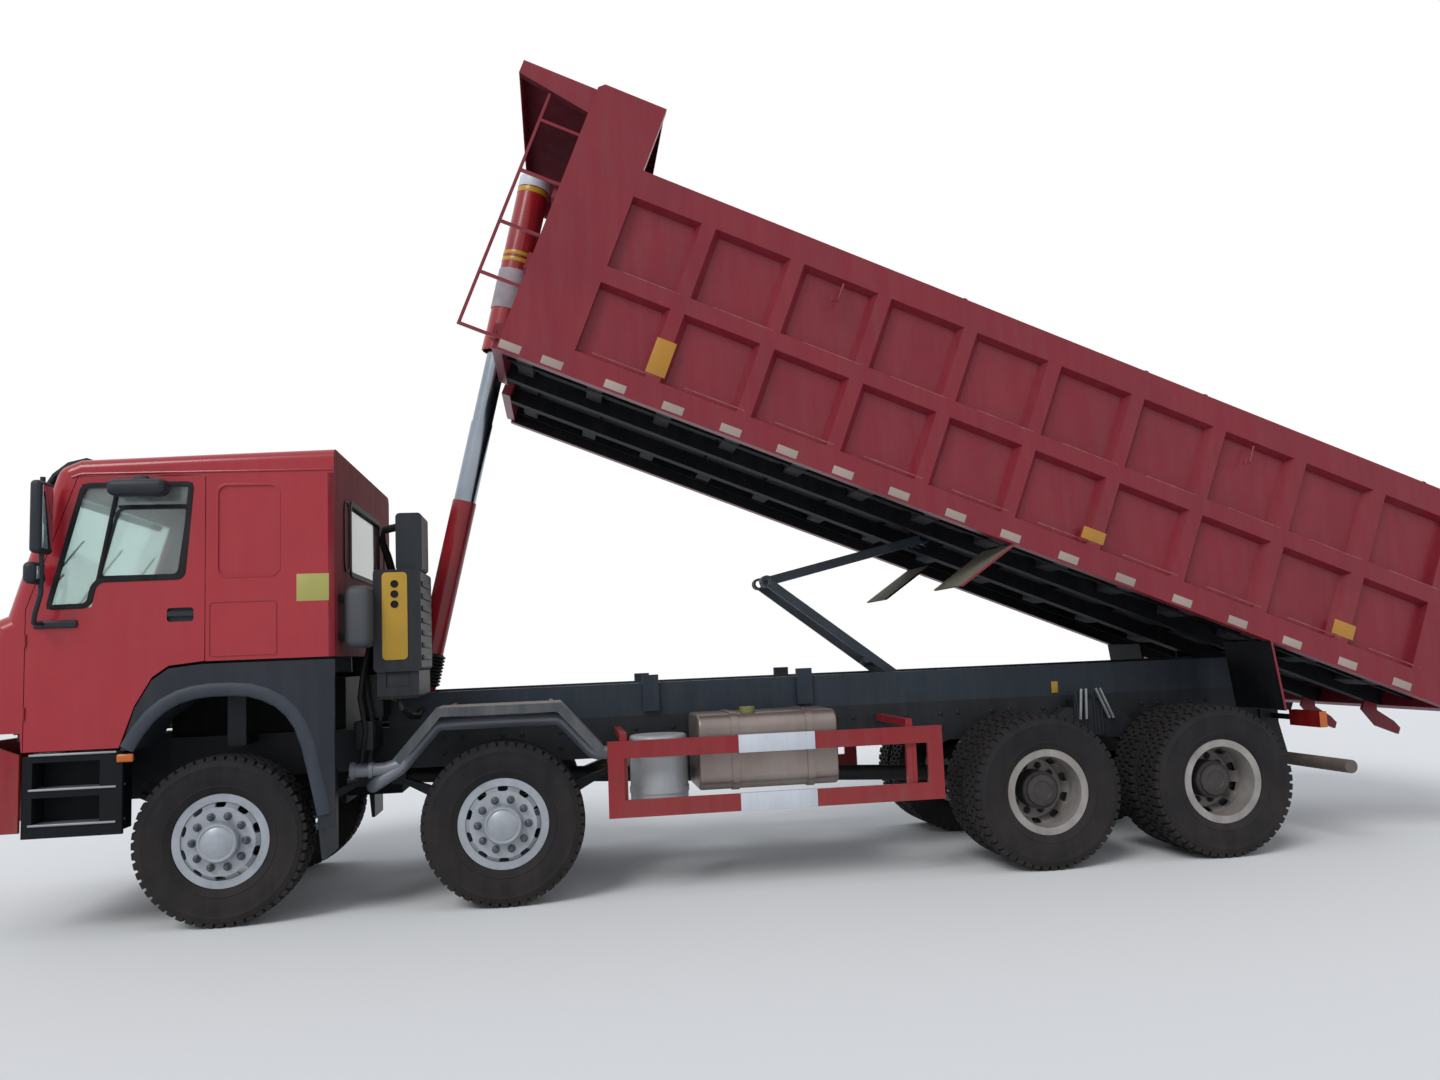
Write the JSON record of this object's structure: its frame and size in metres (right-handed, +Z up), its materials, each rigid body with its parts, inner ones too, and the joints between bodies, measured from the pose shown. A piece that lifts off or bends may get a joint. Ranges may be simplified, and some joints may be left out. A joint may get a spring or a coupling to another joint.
{
  "type": "four-axle tipper truck",
  "caption": "Rigid four-axle tipper truck with a ribbed steel body raised on a front telescopic hoist, twin steering axles and tandem drive axles.",
  "frame": {"origin": "on the ground under the middle of the whole vehicle", "axes": "+X towards the rear, +Y to the right-hand side, +Z up; the truck faces -X"},
  "size_m": [11.1977, 2.96, 5.8889],
  "materials": {
    "bed_red": "semi-gloss red enamel, dusty",
    "cab_red": "gloss red enamel",
    "chassis_black": "black chassis paint, dusty",
    "subframe_grey": "dark grey paint",
    "engine_grey": "painted iron",
    "exhaust_grey": "aluminised steel",
    "tank_alloy": "dull alloy",
    "guard_red": "semi-gloss red enamel",
    "lamp_lens": "moulded lens",
    "black_plastic": "moulded black plastic",
    "interior_grey": "moulded plastic and cloth",
    "window_glass": "tinted glass",
    "hoist_red": "gloss red enamel",
    "hoist_chrome": "hard chrome",
    "stay_grey": "grey paint",
    "tyre_rubber": "dusty tyre rubber",
    "rim_silver": "silver paint",
    "rim_dark": "dusty grey paint"
  },
  "bodies": {
    "root": {"frame": "chassis_black", "subframe": "subframe_grey", "engine": "engine_grey", "axles": "chassis_black", "springs": "chassis_black", "exhaust": "exhaust_grey", "fuel_tank": "tank_alloy", "side_guards": "guard_red", "bumper": "cab_red", "lamps": "lamp_lens", "steps": "chassis_black", "oil_tank": "chassis_black", "air_intake": "chassis_black", "mudguards": "exhaust_grey", "wheel_arches": "black_plastic", "battery_box": "chassis_black"},
    "cab": {"cab_front": "cab_red", "cab_roof": "cab_red", "cab_back": "cab_red", "cab_sides": "cab_red", "cab_interior": "interior_grey", "cab_glass": "window_glass"},
    "door_left": {"door_left": "cab_red", "door_glass_left": "window_glass", "mirrors_left": "black_plastic"},
    "door_right": {"door_right": "cab_red", "door_glass_right": "window_glass", "mirrors_right": "black_plastic"},
    "bed": {"bed_floor": "bed_red", "bed_sides": "bed_red", "bed_front": "bed_red", "splash_plates": "bed_red"},
    "tailgate": {"tailgate": "bed_red"},
    "hoist_base": {"hoist_base": "hoist_red"},
    "hoist_stage_1": {"hoist_stage_1": "hoist_chrome"},
    "hoist_stage_2": {"hoist_stage_2": "hoist_chrome"},
    "hoist_stage_3": {"hoist_stage_3": "hoist_chrome"},
    "hoist_cover": {"hoist_cover": "hoist_red"},
    "stay_lower": {"stay_lower": "stay_grey"},
    "stay_upper": {"stay_upper": "stay_grey"},
    "steer_1_left": {"knuckle_1_left": "stay_grey"},
    "wheel_1_left": {"tyre_1_left": "tyre_rubber", "rim_1_left": "rim_silver"},
    "steer_1_right": {"knuckle_1_right": "stay_grey"},
    "wheel_1_right": {"tyre_1_right": "tyre_rubber", "rim_1_right": "rim_silver"},
    "steer_2_left": {"knuckle_2_left": "stay_grey"},
    "wheel_2_left": {"tyre_2_left": "tyre_rubber", "rim_2_left": "rim_silver"},
    "steer_2_right": {"knuckle_2_right": "stay_grey"},
    "wheel_2_right": {"tyre_2_right": "tyre_rubber", "rim_2_right": "rim_silver"},
    "wheel_3_left": {"tyre_3_left": "tyre_rubber", "rim_3_left": "rim_dark"},
    "wheel_3_right": {"tyre_3_right": "tyre_rubber", "rim_3_right": "rim_dark"},
    "wheel_4_left": {"tyre_4_left": "tyre_rubber", "rim_4_left": "rim_dark"},
    "wheel_4_right": {"tyre_4_right": "tyre_rubber", "rim_4_right": "rim_dark"}
  },
  "joints": [
    {"name": "bed_tip", "type": "hinge", "parent": "root", "child": "bed", "pos_m": [3.70111, 0, 1.3], "axis": [0, 1, 0], "range_deg": [-21.67, 23.33]},
    {"name": "tailgate_hinge", "type": "hinge", "parent": "bed", "child": "tailgate", "pos_m": [5.45309, 0, 2.54075], "axis": [0, -1, 0], "range_deg": [0, 60]},
    {"name": "cab_tilt", "type": "hinge", "parent": "root", "child": "cab", "pos_m": [-5.35889, 0, 1], "axis": [0, -1, 0], "range_deg": [0, 45]},
    {"name": "door_left_hinge", "type": "hinge", "parent": "cab", "child": "door_left", "pos_m": [-5.19139, -1.228, 1.65], "axis": [0, 0, -1], "range_deg": [0, 70]},
    {"name": "door_right_hinge", "type": "hinge", "parent": "cab", "child": "door_right", "pos_m": [-5.19139, 1.228, 1.65], "axis": [0, 0, 1], "range_deg": [0, 70]},
    {"name": "steer_1_left", "type": "hinge", "parent": "root", "child": "steer_1_left", "pos_m": [-4.02889, -0.88, 0.517], "axis": [0, 0, 1], "range_deg": [-35, 35]},
    {"name": "wheel_1_left_spin", "type": "hinge", "parent": "steer_1_left", "child": "wheel_1_left", "pos_m": [-4.02889, -1.011, 0.547], "axis": [0, 1, 0], "continuous": true},
    {"name": "steer_1_right", "type": "hinge", "parent": "root", "child": "steer_1_right", "pos_m": [-4.02889, 0.88, 0.517], "axis": [0, 0, 1], "range_deg": [-35, 35]},
    {"name": "wheel_1_right_spin", "type": "hinge", "parent": "steer_1_right", "child": "wheel_1_right", "pos_m": [-4.02889, 1.011, 0.547], "axis": [0, 1, 0], "continuous": true},
    {"name": "steer_2_left", "type": "hinge", "parent": "root", "child": "steer_2_left", "pos_m": [-2.22889, -0.88, 0.517], "axis": [0, 0, 1], "range_deg": [-24.5, 24.5]},
    {"name": "wheel_2_left_spin", "type": "hinge", "parent": "steer_2_left", "child": "wheel_2_left", "pos_m": [-2.22889, -1.011, 0.547], "axis": [0, 1, 0], "continuous": true},
    {"name": "steer_2_right", "type": "hinge", "parent": "root", "child": "steer_2_right", "pos_m": [-2.22889, 0.88, 0.517], "axis": [0, 0, 1], "range_deg": [-24.5, 24.5]},
    {"name": "wheel_2_right_spin", "type": "hinge", "parent": "steer_2_right", "child": "wheel_2_right", "pos_m": [-2.22889, 1.011, 0.547], "axis": [0, 1, 0], "continuous": true},
    {"name": "wheel_3_left_spin", "type": "hinge", "parent": "root", "child": "wheel_3_left", "pos_m": [1.59611, -0.915, 0.547], "axis": [0, 1, 0], "continuous": true},
    {"name": "wheel_3_right_spin", "type": "hinge", "parent": "root", "child": "wheel_3_right", "pos_m": [1.59611, 0.915, 0.547], "axis": [0, 1, 0], "continuous": true},
    {"name": "wheel_4_left_spin", "type": "hinge", "parent": "root", "child": "wheel_4_left", "pos_m": [2.94611, -0.915, 0.547], "axis": [0, 1, 0], "continuous": true},
    {"name": "wheel_4_right_spin", "type": "hinge", "parent": "root", "child": "wheel_4_right", "pos_m": [2.94611, 0.915, 0.547], "axis": [0, 1, 0], "continuous": true},
    {"name": "hoist_swing", "type": "hinge", "parent": "root", "child": "hoist_base", "pos_m": [-2.90389, 0, 1.32], "axis": [0, 1, 0], "range_deg": [-11, 11.83]},
    {"name": "hoist_slide_1", "type": "slide", "parent": "hoist_base", "child": "hoist_stage_1", "axis": [0.2271, 0, 0.9739], "range_m": [-0.6087, 0.655]},
    {"name": "hoist_slide_2", "type": "slide", "parent": "hoist_stage_1", "child": "hoist_stage_2", "axis": [0.2271, 0, 0.9739], "range_m": [-0.6087, 0.655]},
    {"name": "hoist_slide_3", "type": "slide", "parent": "hoist_stage_2", "child": "hoist_stage_3", "axis": [0.2271, 0, 0.9739], "range_m": [-0.6087, 0.655]},
    {"name": "hoist_slide_4", "type": "slide", "parent": "hoist_stage_3", "child": "hoist_cover", "axis": [0.2271, 0, 0.9739], "range_m": [-0.6087, 0.655]},
    {"name": "stay_lower_swing", "type": "hinge", "parent": "root", "child": "stay_lower", "pos_m": [0.99111, 0, 1.27], "axis": [0, 1, 0], "range_deg": [-33.39, 35.93]},
    {"name": "stay_upper_swing", "type": "hinge", "parent": "bed", "child": "stay_upper", "pos_m": [1.14111, 0, 2.49], "axis": [0, 1, 0], "range_deg": [-38.31, 35.61]}
  ],
  "couplings": [
    {"joint": "steer_1_right", "follows": "steer_1_left", "ratio": 1},
    {"joint": "steer_2_left", "follows": "steer_1_left", "ratio": 0.7},
    {"joint": "steer_2_right", "follows": "steer_1_left", "ratio": 0.7},
    {"joint": "hoist_swing", "follows": "bed_tip", "ratio": 0.49833},
    {"joint": "hoist_slide_1", "follows": "bed_tip", "m_per_rad": 1.5962},
    {"joint": "hoist_slide_2", "follows": "bed_tip", "m_per_rad": 1.5962},
    {"joint": "hoist_slide_3", "follows": "bed_tip", "m_per_rad": 1.5962},
    {"joint": "hoist_slide_4", "follows": "bed_tip", "m_per_rad": 1.5962},
    {"joint": "stay_lower_swing", "follows": "bed_tip", "ratio": 1.527},
    {"joint": "stay_upper_swing", "follows": "bed_tip", "ratio": -1.6295}
  ]
}
